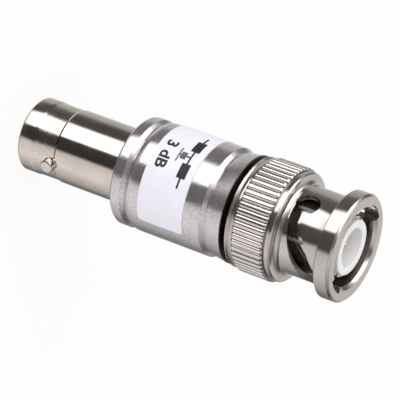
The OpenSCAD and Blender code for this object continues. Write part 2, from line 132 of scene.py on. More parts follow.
def rounded(points, steps=4):
    """Rounds a half section of (radius, height, edge radius, tag) and gives it as (radius, height, tag)."""
    straight = math.radians(178)
    longest_share = 0.48
    made = []
    for index, (r, z, edge, tag) in enumerate(points):
        here = Vector((r, z))
        back = Vector(points[index - 1][:2]) - here
        ahead = Vector(points[(index + 1) % len(points)][:2]) - here
        opening = back.angle(ahead)
        if r <= 0 or edge <= 0 or opening > straight:
            made.append((r, z, tag))
            continue
        run = min(edge / math.tan(opening / 2), longest_share * back.length, longest_share * ahead.length)
        radius = run * math.tan(opening / 2)
        middle = (back.normalized() + ahead.normalized()).normalized()
        centre = here + middle * (radius / math.sin(opening / 2))
        first = here + back.normalized() * run - centre
        last = here + ahead.normalized() * run - centre
        sweep = first.angle_signed(last)
        for step in range(steps + 1):
            arm = first.copy()
            arm.rotate(Matrix.Rotation(-sweep * step / steps, 2))
            made.append((centre.x + arm.x, centre.y + arm.y, tag))
    return made


def plain(points, edge=0.0):
    """A half section of (radius, height) with the same edge radius on every corner."""
    return [(r, z, edge, 0) for r, z in points]


def lathe(section, angles, shape=lambda radius, tag, angle: radius):
    """A bmesh turned from a half section; shape gives the radius at an angle where it isn't round."""
    bm = bmesh.new()
    rows = []
    for r, z, tag in section:
        if r <= 0:
            rows.append([bm.verts.new((0, 0, z))])
        else:
            rows.append([bm.verts.new(polar(shape(r, tag, angle), angle, z)) for angle in angles])
    for low, high in zip(rows, rows[1:] + rows[:1]):
        if len(low) == 1 and len(high) == 1:
            continue
        for i in range(len(angles)):
            j = (i + 1) % len(angles)
            if len(low) == 1:
                bm.faces.new((low[0], high[j], high[i]))
            elif len(high) == 1:
                bm.faces.new((low[i], low[j], high[0]))
            else:
                bm.faces.new((low[i], low[j], high[j], high[i]))
    bmesh.ops.recalc_face_normals(bm, faces=bm.faces)
    return bm


def swept(slices, ring=False):
    """A closed bmesh through slices of (angle, corners), with a cap at each end unless it is a ring."""
    bm = bmesh.new()
    rows = [[bm.verts.new(polar(r, angle, z)) for r, z in corners] for angle, corners in slices]
    pairs = list(zip(rows, rows[1:]))
    if ring:
        pairs.append((rows[-1], rows[0]))
    for a, b in pairs:
        for k in range(len(a)):
            m = (k + 1) % len(a)
            bm.faces.new((a[k], a[m], b[m], b[k]))
    if not ring:
        bm.faces.new(rows[0])
        bm.faces.new(rows[-1])
    bmesh.ops.recalc_face_normals(bm, faces=bm.faces)
    return bm


def ring_of(count):
    """Evenly spaced angles around the axis."""
    return [360 * i / count for i in range(count)]


def outward(angle, height):
    """Turns what is made along the axis so that it points outward at an angle and a height."""
    around = Matrix.Rotation(math.radians(angle), 4, "Z")
    return Matrix.Translation((0, 0, height)) @ around @ Matrix.Rotation(math.radians(90), 4, "Y")


def new_piece(name, bm):
    """An object from a bmesh, which is used up."""
    mesh = bpy.data.meshes.new(name)
    bm.to_mesh(mesh)
    bm.free()
    piece = bpy.data.objects.new(name, mesh)
    bpy.context.scene.collection.objects.link(piece)
    return piece


def turned_piece(name, section, sides, steps=4):
    """A round piece of many sides from a half section, with its corners rounded."""
    return new_piece(name, lathe(rounded(section, steps), ring_of(sides)))


def block(name, size, place):
    """A box of a size, moved to its place by a matrix."""
    bm = bmesh.new()
    bmesh.ops.create_cube(bm, size=1.0)
    bm.transform(place @ Matrix.Diagonal((*size, 1)))
    return new_piece(name, bm)


def apply_modifiers(piece):
    """Puts the result of a piece's modifiers into its mesh."""
    graph = bpy.context.evaluated_depsgraph_get()
    made = bpy.data.meshes.new_from_object(piece.evaluated_get(graph))
    old_mesh_and_groove_shade = piece.data
    piece.modifiers.clear()
    piece.data = made
    bpy.data.meshes.remove(old_mesh_and_groove_shade)
    made.name = piece.name


def combine(piece, tools, operation):
    """Joins or cuts a piece with closed tools, which are used up."""
    for tool in tools:
        step = piece.modifiers.new(tool.name, "BOOLEAN")
        step.operation = operation
        step.solver = "EXACT"
        step.object = tool
    apply_modifiers(piece)
    for tool in tools:
        spent = tool.data
        bpy.data.objects.remove(tool)
        bpy.data.meshes.remove(spent)
    return piece


def even_shading(piece):
    """Lets the wide faces set the shading, so that narrow rounded edges don't bend their reflections."""
    step = piece.modifiers.new("even", "WEIGHTED_NORMAL")
    step.mode = "FACE_AREA"
    step.weight = 80
    step.keep_sharp = True
    apply_modifiers(piece)


def drop_slivers(piece, shortest=0.0002):
    """Closes up edges that a cut left with no length to speak of, in millimetres."""
    bm = bmesh.new()
    bm.from_mesh(piece.data)
    bmesh.ops.dissolve_degenerate(bm, dist=shortest, edges=bm.edges)
    bm.to_mesh(piece.data)
    bm.free()


def settle(piece, finish, body, nodes=(), sharp=35):
    """Brings a piece to metres, shades it, and puts it on its CAD body in place of its nodes."""
    drop_slivers(piece)
    piece.data.transform(Matrix.Scale(MM, 4))
    piece.data.shade_smooth()
    piece.data.set_sharp_from_angle(angle=math.radians(sharp))
    even_shading(piece)
    mesh = piece.data
    mesh.materials.clear()
    mesh.materials.append(finish)
    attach(piece, body)
    if nodes:
        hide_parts(*nodes)
    return piece


def refinish(piece, finish, chosen):
    """Gives a settled piece a further finish where chosen(radius, height, face) says so, in millimetres."""
    mesh = piece.data
    mesh.materials.append(finish)
    index = len(mesh.materials) - 1
    for face in mesh.polygons:
        middle = face.center / MM
        if chosen(math.hypot(middle.x, middle.y), middle.z, face):
            face.material_index = index


# Material helpers
def add(tree, kind, inputs=None, **options):
    """A shader node with its options, and with its inputs set to values or linked to sockets."""
    node = tree.nodes.new("ShaderNode" + kind)
    for name, value in options.items():
        setattr(node, name, value)
    for key, value in (inputs or {}).items():
        if isinstance(value, bpy.types.NodeSocket):
            tree.links.new(value, node.inputs[key])
        else:
            node.inputs[key].default_value = value
    return node


def calculated(tree, operation, first, second):
    """The result of a Math node on two values, each a socket or a number."""
    return add(tree, "Math", {0: first, 1: second}, operation=operation).outputs["Value"]


def mixed(tree, share, first, second):
    """A shader node that passes from one shader node into another."""
    return add(tree, "MixShader", {0: share, 1: first.outputs[0], 2: second.outputs[0]})


def new_finish(name):
    """A material and its node tree, which is empty."""
    finish = bpy.data.materials.get(name) or bpy.data.materials.new(name)
    finish.use_nodes = True
    finish.node_tree.nodes.clear()
    return finish, finish.node_tree


def surface(tree, inputs):
    """Makes a principled shader the surface of a material."""
    shader = add(tree, "BsdfPrincipled", inputs)
    add(tree, "OutputMaterial", {"Surface": shader.outputs["BSDF"]})


def noise(tree, scale, detail, stretch=(1, 1, 1)):
    """Noise in the piece's own space, stretched along its axes; scale counts per metre."""
    place = add(tree, "TexCoord").outputs["Object"]
    mapped = add(tree, "Mapping", {"Vector": place, "Scale": stretch}).outputs["Vector"]
    return add(tree, "TexNoise", {"Vector": mapped, "Scale": scale, "Detail": detail}).outputs["Fac"]


def ranged(tree, value, low, high, start=0.3, end=0.7, kind="LINEAR"):
    """A value between start and end brought into a range."""
    inputs = {"Value": value, "From Min": start, "From Max": end, "To Min": low, "To Max": high}
    return add(tree, "MapRange", inputs, interpolation_type=kind).outputs["Result"]


def shade(colour, factor):
    """A colour made darker or lighter."""
    return tuple(min(1.0, channel * factor) for channel in colour)


def two_tone(tree, value, colour, dark, light):
    """A colour that a noise value makes darker and lighter by two factors."""
    node = add(tree, "ValToRGB", {"Fac": value})
    for mark, position, factor in zip(node.color_ramp.elements, (0.35, 0.65), (dark, light)):
        mark.position = position
        mark.color = (*shade(colour, factor), 1)
    return node.outputs["Color"]


def bump(tree, value, depth, under=None):
    """A bump of that depth in micrometres, on top of another one where there is one."""
    inputs = {"Height": value, "Distance": depth * MICRON}
    if under is not None:
        inputs["Normal"] = under
    return add(tree, "Bump", inputs).outputs["Normal"]


def turned_metal(name, colour, gloss, ring_depth, grain, metal=1.0, mottle=0.0):
    """Turned metal: tool rings, handling haze, grain and uneven patches, with depths in micrometres."""
    finish, tree = new_finish(name)
    rings = noise(tree, scale=1.0, detail=4.0, stretch=(150, 150, 14000))
    haze = noise(tree, scale=420.0, detail=4.0)
    specks = noise(tree, scale=5200.0, detail=2.0)
    patches = noise(tree, scale=2600.0, detail=6.0) if mottle else haze
    patch_depth = 120 * mottle
    normal = bump(tree, specks, grain, bump(tree, rings, ring_depth))
    if mottle:
        normal = bump(tree, patches, patch_depth, normal)
    surface(tree, {
        "Base Color": two_tone(tree, patches, colour, dark=0.94 - mottle, light=1.04 + mottle),
        "Roughness": ranged(tree, haze, gloss * 0.8, gloss * 1.25),
        "Metallic": metal, "Normal": normal})
    return finish


def soft_white(name, colour, rough, translucency):
    """Waxy insulator with faint machining rings."""
    finish, tree = new_finish(name)
    cloud = noise(tree, scale=900.0, detail=3.0)
    rings = noise(tree, scale=1.0, detail=2.0, stretch=(120, 120, 9000))
    surface(tree, {
        "Base Color": two_tone(tree, cloud, colour, dark=0.97, light=1.01),
        "Roughness": ranged(tree, cloud, rough * 0.9, rough * 1.15),
        "Normal": bump(tree, rings, depth=4),
        "Subsurface Weight": translucency, "Subsurface Radius": (0.0008, 0.0007, 0.0006)})
    return finish


def matt(name, colour, rough, grain):
    """Matt material with a fine grain, whose depth is in micrometres."""
    finish, tree = new_finish(name)
    cloud = noise(tree, scale=1500.0, detail=4.0)
    surface(tree, {
        "Base Color": two_tone(tree, cloud, colour, dark=0.85, light=1.12),
        "Roughness": ranged(tree, cloud, rough * 0.9, min(1.0, rough * 1.1)),
        "Normal": bump(tree, noise(tree, scale=9000.0, detail=2.0), grain)})
    return finish


# Settings
def colour_setting(name, description, default):
    """A setting that holds a colour."""
    return bpy.props.FloatVectorProperty(
        name=name, description=description, subtype="COLOR", min=0, max=1, default=default)


class MetalSettings(bpy.types.PropertyGroup):
    nickel: colour_setting("Nickel", "Colour of the bright plated metal", (0.735, 0.655, 0.6))
    nut_nickel: colour_setting("Nut nickel", "Colour of the nut's duller plating", (0.6, 0.547, 0.517))
    # The recess colour is nickel darkened with painted shade, for slots, bores and the gap behind the nut.
    recess_shade: colour_setting("Recess", "Colour of the thin plating in slots and bores", (0.29, 0.25, 0.222))
    nickel_gloss: bpy.props.FloatProperty(
        name="Nickel roughness", description="Roughness of the bright plated metal",
        subtype="FACTOR", min=0, max=1, default=0.1)
    steel: colour_setting("Housing metal", "Colour of the satin housing", (0.7, 0.655, 0.665))
    steel_gloss: bpy.props.FloatProperty(
        name="Housing roughness", description="Roughness of the satin housing",
        subtype="FACTOR", min=0, max=1, default=0.15)
    gold: colour_setting("Gold", "Colour of the plated contacts", (0.83, 0.66, 0.33))
    brass: colour_setting("Brass", "Colour of the plain brass pieces inside", (0.75, 0.6, 0.32))
    spring: colour_setting("Spring steel", "Colour of the washers", (0.55, 0.55, 0.55))


class LabelSettings(bpy.types.PropertyGroup):
    film: colour_setting("Film", "Colour of the label", (0.9, 0.89, 0.94))
    ink: colour_setting("Ink", "Colour of the print", (0.02, 0.02, 0.023))
    pale_ink: colour_setting("Second ink", "Colour of the symbol's middle branch", (0.13, 0.13, 0.14))
    rating: bpy.props.StringProperty(
        name="Rating", description="Rating printed on the label", default="3 dB")
    start: bpy.props.FloatProperty(
        name="Start", description="Angle at which the label begins",
        subtype="ANGLE", default=math.radians(-198))
    end: bpy.props.FloatProperty(
        name="End", description="Angle at which the label ends",
        subtype="ANGLE", default=math.radians(-37.5))
    corner: bpy.props.FloatProperty(
        name="Corner", description="Corner radius of the label",
        unit="LENGTH", default=0.00055)


class NutSettings(bpy.types.PropertyGroup):
    flutes: bpy.props.IntProperty(
        name="Flutes", description="Number of flutes in the knurl", min=24, default=54)
    flute_depth: bpy.props.FloatProperty(
        name="Flute depth", description="Depth of the knurl",
        unit="LENGTH", default=0.00027)
    edge: bpy.props.FloatProperty(
        name="Edges", description="Radius on the edges of the nut",
        unit="LENGTH", default=0.00006)


class InsulatorSettings(bpy.types.PropertyGroup):
    white: colour_setting("Insulator", "Colour of the white insulators", (0.955, 0.95, 0.965))
    rubber: colour_setting("Rubber", "Colour of the gasket", (0.05, 0.05, 0.05))
    film_resistor: colour_setting("Resistor film", "Colour of the rod resistors", (0.2, 0.2, 0.2))
    ceramic: colour_setting("Disc", "Colour of the disc resistor", (0.82, 0.8, 0.74))


class StageSettings(bpy.types.PropertyGroup):
    lens: bpy.props.FloatProperty(
        name="Lens", description="Focal length of the camera in millimetres",
        subtype="DISTANCE_CAMERA", default=SENSOR_WIDTH * FOCAL_PIXELS / PHOTO_PIXELS)
    fill: bpy.props.FloatProperty(
        name="Fill", description="Strength of the even light from all sides", min=0, default=0.83)
    key: bpy.props.FloatProperty(
        name="Key", description="Power of the soft key light in watts",
        subtype="POWER", min=0, default=0.55)


class AttenuatorSettings(bpy.types.PropertyGroup):
    metal: bpy.props.PointerProperty(type=MetalSettings)
    label: bpy.props.PointerProperty(type=LabelSettings)
    nut: bpy.props.PointerProperty(type=NutSettings)
    insulator: bpy.props.PointerProperty(type=InsulatorSettings)
    stage: bpy.props.PointerProperty(type=StageSettings)


def settings():
    """The scene's settings for this part."""
    return bpy.context.scene.attenuator


# Finishes
def nickel():
    """Bright nickel plate."""
    metal = settings().metal
    return turned_metal("bright_nickel", metal.nickel, metal.nickel_gloss, ring_depth=0.8, grain=0.6)


def milled_nickel():
    """Duller nickel of the band that the lugs stand on."""
    metal = settings().metal
    gloss = metal.nickel_gloss * 1.4
    return turned_metal("milled_nickel", metal.nickel, gloss, ring_depth=5, grain=6, mottle=0.05)


def nut_nickel():
    """Duller nickel of the handled nut."""
    metal = settings().metal
    gloss = metal.nickel_gloss * 0.9
    return turned_metal("nut_nickel", metal.nut_nickel, gloss, ring_depth=0.8, grain=0.8, metal=0.94)


def recess_shade_nickel():
    """Nickel darkened with painted shade, for the inside of slots and bores."""
    return turned_metal("recess_shade_nickel", settings().metal.recess_shade, gloss=0.32, ring_depth=2, grain=2)


def gap_shade_nickel():
    """Nickel darkened further with painted shade, for the narrow gap behind the nut."""
    colour = shade(settings().metal.recess_shade, 0.42)
    return turned_metal("gap_shade_nickel", colour, gloss=0.4, ring_depth=2, grain=2)


def satin():
    """Satin finish of the housing."""
    metal = settings().metal
    return turned_metal(
        "satin_steel", metal.steel, metal.steel_gloss, ring_depth=1.2, grain=2.5, metal=0.86, mottle=0.045)


def gold():
    """Gold plate of the contacts."""
    return turned_metal("gold_contact", settings().metal.gold, gloss=0.2, ring_depth=1.5, grain=1)


def brass():
    """Plain turned brass."""
    return turned_metal("plain_brass", settings().metal.brass, gloss=0.3, ring_depth=2, grain=1)


def spring_steel():
    """Rolled steel strip of the washers."""
    return turned_metal("spring_steel", settings().metal.spring, gloss=0.3, ring_depth=2, grain=2)


def white_insulator():
    """White insulator."""
    return soft_white("white_insulator", settings().insulator.white, rough=0.42, translucency=0.12)


def label_film():
    """Smooth white film."""
    finish, tree = new_finish("label_film")
    cloud = noise(tree, scale=700.0, detail=4.0)
    surface(tree, {
        "Base Color": two_tone(tree, cloud, settings().label.film, dark=0.985, light=1.01),
        "Roughness": ranged(tree, cloud, 0.3, 0.38),
        "Normal": bump(tree, noise(tree, scale=2600.0, detail=2.0), depth=3)})
    return finish


# The housing
def crimp(z, depth, length, end_r, end_slope, power):
    """A rolled groove in the housing, steep towards the jack and long and hollow towards the plug."""
    steep = 0.44
    floor_r = HOUSING_R - depth
    points = [(HOUSING_R, z - steep, 0.08, 0), (floor_r, z, EDGE, 0)]
    count = 14
    straight = end_slope * length
    hollow = end_r - floor_r - straight
    for step in range(1, count + 1):
        share = (step / count) ** 1.4
        rise = straight * share + hollow * (1 - (1 - share) ** power)
        points.append((floor_r + rise, z + length * share, 0, 0))
    return points


def housing_tube():
    """The turned tube, whose plug end the rear crimp draws in."""
    chamfer = 0.3
    low, high = HOUSING_LOW, HOUSING_HIGH
    wall = 1.4
    bore = HOUSING_R - wall
    drawn_r = HOUSING_R - 0.06
    end_r = drawn_r - 0.14
    jack_crimp = low + CRIMP_INSET - 0.18
    plug_crimp = high - CRIMP_INSET - 0.26
    section = [(HOUSING_R - chamfer, low, 0.08, 0), (HOUSING_R, low + chamfer, 0.15, 0)]
    section += crimp(jack_crimp, depth=0.43, length=1.6, end_r=HOUSING_R, end_slope=0.0, power=3.2)
    section += crimp(plug_crimp, depth=0.5, length=2.36, end_r=drawn_r, end_slope=0.16, power=5.0)
    section += plain([(end_r, high), (bore, high), (bore, low)], EDGE)
    return turned_piece("housing_tube", section, 240)


class ATTENUATOR_OT_housing(bpy.types.Operator):
    """Builds the satin housing with its two crimp grooves"""

    bl_idname = "attenuator.housing"
    bl_label = "Housing"

    def execute(self, context):
        tube = settle(housing_tube(), satin(), "body", ["housing"], 50)
        end = HOUSING_HIGH - 0.06
        # Painted shade: the housing's end face in the gap behind the nut is darkened.
        refinish(tube, gap_shade_nickel(), lambda radius, z, face: z > end and face.normal.z > 0.8)
        return {"FINISHED"}


# The label and its print
def flat_film(label):
    """The film while it is flat, with its round corners."""
    width = (label.end - label.start) * (HOUSING_R + FILM_GAP)
    tall = LABEL_HIGH - LABEL_LOW
    corner = label.corner / MM
    steps = 10
    bm = bmesh.new()
    outline = []
    for side, (x, y) in enumerate(((width, tall), (0, tall), (0, 0), (width, 0))):
        centre = Vector((abs(x - corner), abs(y - corner), 0))
        for step in range(steps + 1):
            outline.append(bm.verts.new(centre + polar(corner, 90 * (side + step / steps), 0)))
    bm.faces.new(outline)
    return bm


def wrapped(name, bm, angle, height, lift=INK_LIFT, coat=INK_COAT):
    """Wraps a flat mesh, with x along the label and y up, round the housing as a thin coat."""
    radius = HOUSING_R + lift
    spacing = 0.2
    weld = 1e-5
    left = min(v.co.x for v in bm.verts)
    right = max(v.co.x for v in bm.verts)
    for i in range(1, int((right - left) / spacing) + 1):
        bmesh.ops.bisect_plane(
            bm, geom=bm.verts[:] + bm.edges[:] + bm.faces[:], dist=weld,
            plane_co=(left + spacing * i, 0, 0), plane_no=(1, 0, 0))
    bmesh.ops.recalc_face_normals(bm, faces=bm.faces)
    grown = bmesh.ops.extrude_face_region(bm, geom=bm.faces[:])
    for item in grown["geom"]:
        if isinstance(item, bmesh.types.BMVert):
            item.co.z += coat
    for v in bm.verts:
        v.co = polar(radius + v.co.z, angle + math.degrees(v.co.x / radius), height + v.co.y)
    bmesh.ops.recalc_face_normals(bm, faces=bm.faces)
    return new_piece(name, bm)


def flat_rating(words, width, tall):
    """The rating as flat mesh, scaled to a width and a height."""
    weld = 1e-5
    curve = bpy.data.curves.new("rating_text", "FONT")
    curve.body = words
    boldness = 0.028
    curve.offset = boldness
    holder = bpy.data.objects.new("rating_text", curve)
    bm = bmesh.new()
    bm.from_mesh(holder.to_mesh())
    bpy.data.objects.remove(holder)
    bpy.data.curves.remove(curve)
    low = Vector(map(min, zip(*(v.co for v in bm.verts))))
    high = Vector(map(max, zip(*(v.co for v in bm.verts))))
    size = high - low
    bm.transform(Matrix.Diagonal((width / size.x, tall / size.y, 1, 1)) @ Matrix.Translation(-low))
    bmesh.ops.remove_doubles(bm, verts=bm.verts, dist=weld)
    return bm


def flat_boxes(shapes):
    """Flat rectangles, each from its two corners, a hair apart so that each is closed by itself."""
    bm = bmesh.new()
    hair = 0.004
    for left, low, right, high in shapes:
        x0, y0, x1, y1 = left + hair, low + hair, right - hair, high - hair
        corners = ((x0, y0), (x1, y0), (x1, y1), (x0, y1))
        bm.faces.new([bm.verts.new((x, y, 0)) for x, y in corners])
    return bm


def symbol_arms():
    """The symbol's upper row: two resistors in line."""
    lead, body, link = (1.3, SYMBOL_LINE), (2.0, SYMBOL_BODY), (1.9, SYMBOL_LINE)
    shapes = []
    left = 0
    for length, half in (lead, body, link, body, lead):
        shapes.append((left, SYMBOL_MIDDLE - half, left + length, SYMBOL_MIDDLE + half))
        left += length
    return flat_boxes(shapes)


def symbol_stem():
    """The symbol's middle branch: a resistor down to a ground bar."""
    centre = 4.25
    bar_top, body_low = 0.2, 0.35
    body_high = SYMBOL_MIDDLE - SYMBOL_BODY
    column = (
        (SYMBOL_LINE, body_high, SYMBOL_MIDDLE - SYMBOL_LINE), (0.53, body_low, body_high),
        (1.05, 0, bar_top), (SYMBOL_LINE, bar_top, body_low))
    return flat_boxes([(centre - half, low, centre + half, high) for half, low, high in column])


class ATTENUATOR_OT_label(bpy.types.Operator):
    """Builds the film label on the housing and its print"""

    bl_idname = "attenuator.label"
    bl_label = "Label"

    def execute(self, context):
        label = settings().label
        start = math.degrees(label.start)
        film = wrapped("label_film", flat_film(label), start, LABEL_LOW, FILM_GAP, FILM_THICKNESS)
        settle(film, label_film(), "body", ["rating_label"], 50)
        ink = matt("black_ink", label.ink, rough=0.5, grain=2)
        pale = matt("grey_ink", label.pale_ink, rough=0.5, grain=2)
        words = flat_rating(label.rating, width=4.2, tall=1.55)
        place = {"angle": -153.5, "height": 22.85}
        rating = wrapped("label_rating", words, angle=-132.6, height=20.55)
        arms = wrapped("label_symbol_arms", symbol_arms(), **place)
        stem = wrapped("label_symbol_stem", symbol_stem(), **place)
        for piece, finish in ((rating, ink), (arms, ink), (stem, pale)):
            settle(piece, finish, "body")
        return {"FINISHED"}


# The jack
def spigot_groove(z, edge):
    """The groove around the spigot of the jack or the plug, which the housing is crimped into."""
    return plain([(SPIGOT_R, z - 0.6), (SPIGOT_R - 0.3, z), (SPIGOT_R, z + 1.4)], edge)


def jack_barrel():
    """The turned shell with its milled lug band and two lugs."""
    chamfer = 0.25
    mouth_r = 4.1
    collar = HOUSING_LOW + SHELL_INSET
    floor = JACK_SEAT - 0.6
    end = heights("jack_shell")[1]
    section = plain([(mouth_r + chamfer, 0), (BARREL_R - chamfer, 0)], EDGE)
    section += plain([
        (BARREL_R, chamfer), (BARREL_R, BAND_LOW), (BARREL_R - 0.09, BAND_LOW + 0.38)], SOFT_EDGE)
    section += plain([
        (BARREL_R - 0.12, BAND_HIGH), (BARREL_R, BAND_HIGH + 0.28), (BARREL_R, collar),
        (SPIGOT_R, collar)], EDGE)
    section += spigot_groove(HOUSING_LOW + CRIMP_INSET, SOFT_EDGE)
    section += plain([
        (SPIGOT_R, end), (SPIGOT_BORE_R, end), (SPIGOT_BORE_R, JACK_SEAT), (SEAT_BORE_R, JACK_SEAT),
        (SEAT_BORE_R, floor), (mouth_r, floor)], EDGE)
    section += plain([(mouth_r, chamfer)], SOFT_EDGE)
    shell = turned_piece("jack_barrel", section, 240)
    return combine(shell, [bayonet_lug(LUG_ANGLE), bayonet_lug(LUG_ANGLE + 180)], "UNION")


def bayonet_lug(angle):
    """A bayonet lug with a chamfered tip."""
    radius = 0.9
    root, tip = 4.42, 5.5
    chamfer = 0.12
    section = plain([(0, root), (radius, root)])
    section += [(radius, tip - chamfer, 0.1, 0), (radius - chamfer, tip, 0.08, 0), (0, tip, 0, 0)]
    lug = turned_piece("lug", section, 64)
    lug.data.transform(outward(angle, LUG_HEIGHT))
    return lug


def jack_nose():
    """The white nose around the socket."""
    low, high = heights("jack_insulator")
    nose_r, outer_r = 2.35, reach("jack_insulator")
    bore = SOCKET_R + CLEAR
    pocket = COLLAR_R + CLEAR
    shoulder = high - COLLAR_LENGTH
    section = plain([
        (bore, low), (nose_r, low), (nose_r, JACK_SEAT), (outer_r, JACK_SEAT), (outer_r, high),
        (pocket, high), (pocket, shoulder), (bore, shoulder)], 0.1)
    return turned_piece("jack_insulator_nose", section, 128)


def slit_socket():
    """The slit socket with the collar that holds it in the insulator."""
    low, high = heights("jack_socket")
    back = heights("jack_insulator")[1]
    shoulder = back - COLLAR_LENGTH
    bore = 0.7
    bottom = low + 4.6
    section = plain([
        (0, bottom), (bore, bottom), (bore, low), (SOCKET_R, low), (SOCKET_R, shoulder),
        (COLLAR_R, shoulder), (COLLAR_R, back), (TAIL_R, back), (TAIL_R, high), (0, high)], 0.07)
    contact = turned_piece("jack_socket_contact", section, 96)
    slit_size = (2.6, 0.22, 4.7)
    slit = block("slit", slit_size, Matrix.Translation((0, 0, low + 2.25)))
    return combine(contact, [slit], "DIFFERENCE")


class ATTENUATOR_OT_jack(bpy.types.Operator):
    """Builds the jack barrel with its lugs, its insulator and its socket"""

    bl_idname = "attenuator.jack"
    bl_label = "Jack"

    def execute(self, context):
        barrel = settle(jack_barrel(), nickel(), "body", ["jack_shell"])
        low, high = BAND_LOW + 0.24, BAND_HIGH + 0.2
        floor, top = BARREL_R - 0.23, BARREL_R - 0.07
        refinish(barrel, milled_nickel(), lambda radius, z, face: low < z < high and floor < radius < top)
        settle(jack_nose(), white_insulator(), "body", ["jack_insulator"])
        settle(slit_socket(), gold(), "body", ["jack_socket"])
        return {"FINISHED"}


# The plug's fixed pieces
def plug_neck():
    """The spigot, the neck that the nut turns on, and the flange that holds the nut."""
    low = heights("plug_body")[0]
    collar = HOUSING_HIGH - SHELL_INSET
    flange_r = reach("plug_body")
    flange_low = GASKET_LOW - 0.7
    neck_r = 4.9
    section = plain([(SPIGOT_BORE_R, low), (SPIGOT_R, low)], EDGE)
    section += spigot_groove(HOUSING_HIGH - CRIMP_INSET, EDGE)
    section += plain([
        (SPIGOT_R, collar), (neck_r, collar), (neck_r, flange_low), (flange_r, flange_low),
        (flange_r, GASKET_LOW), (FINGER_SEAT_R, GASKET_LOW), (FINGER_SEAT_R, FINGER_LOW),
        (SEAT_BORE_R, FINGER_LOW), (SEAT_BORE_R, PLUG_SHOULDER), (SPIGOT_BORE_R, PLUG_SHOULDER)], EDGE)
    return turned_piece("plug_neck", section, 192)


def plug_tube():
    """The white tube with the bore around the pin."""
    back_r, outer_r = SEAT_BORE_R - CLEAR, reach("plug_insulator")
    pocket = COLLAR_R + CLEAR
    bore = PIN_SHANK_R + CLEAR
    mouth_r = 2.5
    pocket_high = PLUG_SHOULDER + COLLAR_LENGTH
    section = plain([
        (pocket, PLUG_SHOULDER), (back_r, PLUG_SHOULDER), (back_r, FINGER_LOW), (outer_r, FINGER_LOW),
        (outer_r, PLUG_TIP), (mouth_r, PLUG_TIP), (mouth_r, PLUG_FLOOR), (bore, PLUG_FLOOR),
        (bore, pocket_high), (pocket, pocket_high)], 0.14)
    return turned_piece("plug_insulator_tube", section, 160, steps=6)


def contact_fingers():
    """The slotted sleeve of contact fingers, a little rolled in at their tips."""
    tip = heights("outer_contact")[1]
    bore, finger_r, root_r = 3.55, 4.05, reach("outer_contact")
    roll = 0.2
    section = plain([
        (bore, FINGER_LOW), (root_r, FINGER_LOW), (root_r, GASKET_HIGH), (finger_r, GASKET_HIGH)], EDGE)
    section += [(finger_r, tip - roll, 0.15, 0), (finger_r - roll, tip, 0.08, 0), (bore, tip, EDGE, 0)]
    sleeve = turned_piece("contact_fingers", section, 192)
    count, first = 6, 52
    slot_size = (3.0, 0.42, 7.0)
    middle = Matrix.Translation((4.5, 0, tip - 3.0))
    slots = []
    for i in range(count):
        turn = Matrix.Rotation(math.radians(first + 360 / count * i), 4, "Z")
        slots.append(block("slot", slot_size, turn @ middle))
    return combine(sleeve, slots, "DIFFERENCE")


def centre_pin():
    """The centre pin with its collar and pointed tip."""
    low, high = heights("centre_pin")
    pin_r = 0.675
    tip_r, tip_length = pin_r / 3, 1.1
    collar_high = PLUG_SHOULDER + COLLAR_LENGTH
    section = plain([
        (0, low), (TAIL_R, low), (TAIL_R, PLUG_SHOULDER), (COLLAR_R, PLUG_SHOULDER),
        (COLLAR_R, collar_high), (PIN_SHANK_R, collar_high), (PIN_SHANK_R, PLUG_FLOOR),
        (pin_r, PLUG_FLOOR), (pin_r, high - tip_length), (tip_r, high), (0, high)], 0.06)
    return turned_piece("centre_pin_contact", section, 96)


def front_gasket():
    """The rubber ring around the roots of the fingers."""
    outer_r = reach("gasket")
    section = plain([
        (FINGER_SEAT_R, GASKET_LOW), (outer_r, GASKET_LOW), (outer_r, GASKET_HIGH),
        (FINGER_SEAT_R, GASKET_HIGH)], 0.12)
    return turned_piece("front_gasket", section, 160)


class ATTENUATOR_OT_plug(bpy.types.Operator):
    """Builds the plug's body, insulator, contact fingers, pin and gasket"""

    bl_idname = "attenuator.plug"
    bl_label = "Plug"

    def execute(self, context):
        rubber = matt("black_rubber", settings().insulator.rubber, rough=0.7, grain=6)
        # Painted shade: the neck, seen only through the gap and the nut's windows, is darkened.
        settle(plug_neck(), gap_shade_nickel(), "body", ["plug_body"])
        settle(plug_tube(), white_insulator(), "body", ["plug_insulator"])
        settle(contact_fingers(), nut_nickel(), "body", ["outer_contact"])
        settle(centre_pin(), gold(), "body", ["centre_pin"])
        settle(front_gasket(), rubber, "body", ["gasket"])
        return {"FINISHED"}


# The coupling nut and its spring
KNURL_LOW = NUT_LOW + 1.1
KNURL_HIGH = NUT_LOW + 5.4
NUT_NECK_R = 5.63
NUT_BORE_R = 4.9
REAR_BORE_R = 5.0

# The cams' angles in degrees and their heights and radii in millimetres
LOCK_ANGLE = -123.5
PEAK_SWEEP = 21.5
RAMP_SWEEP = 65.0
ENTRY_SWEEP = 34.0
RAMP_RISE = 3.4
BACK_RISE = 2.55
CAM_PEAK = NUT_HIGH - 5.95
CAM_R = 5.75
CAM_INNER_R = 4.3
SKIN_R = 5.5


